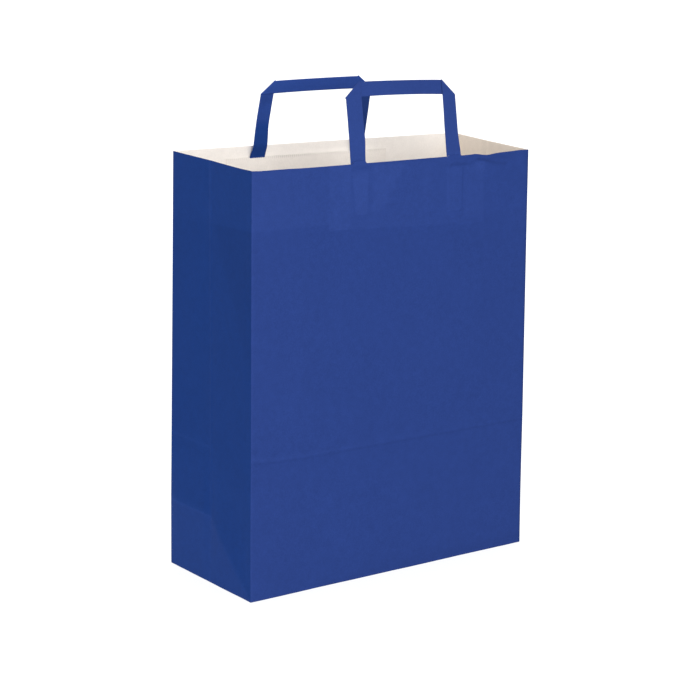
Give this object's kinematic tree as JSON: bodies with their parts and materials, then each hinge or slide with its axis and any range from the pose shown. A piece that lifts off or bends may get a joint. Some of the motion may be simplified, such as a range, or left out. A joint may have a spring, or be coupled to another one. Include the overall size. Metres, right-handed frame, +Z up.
{
  "type": "paper carrier bag",
  "caption": "Open block-bottom paper carrier bag with a turned-in hem and a flat folded ribbon handle glued inside each wall.",
  "frame": {"origin": "middle of the base, on the surface it stands on", "axes": "+Z up from the base to the handles, +X along the front wall, +Y from the front wall to the back wall"},
  "size_m": [0.35, 0.1416, 0.4944],
  "materials": {
    "bag_paper": "matt machine-finished paper, printed blue outside, white inside",
    "handle_paper": "matt blue paper ribbon of several plies",
    "patch_paper": "uncoated off-white paper"
  },
  "bodies": {
    "root": {"bag_body": "bag_paper", "front_handle": "handle_paper", "back_handle": "handle_paper", "front_handle_patch": "patch_paper", "back_handle_patch": "patch_paper"}
  },
  "joints": []
}
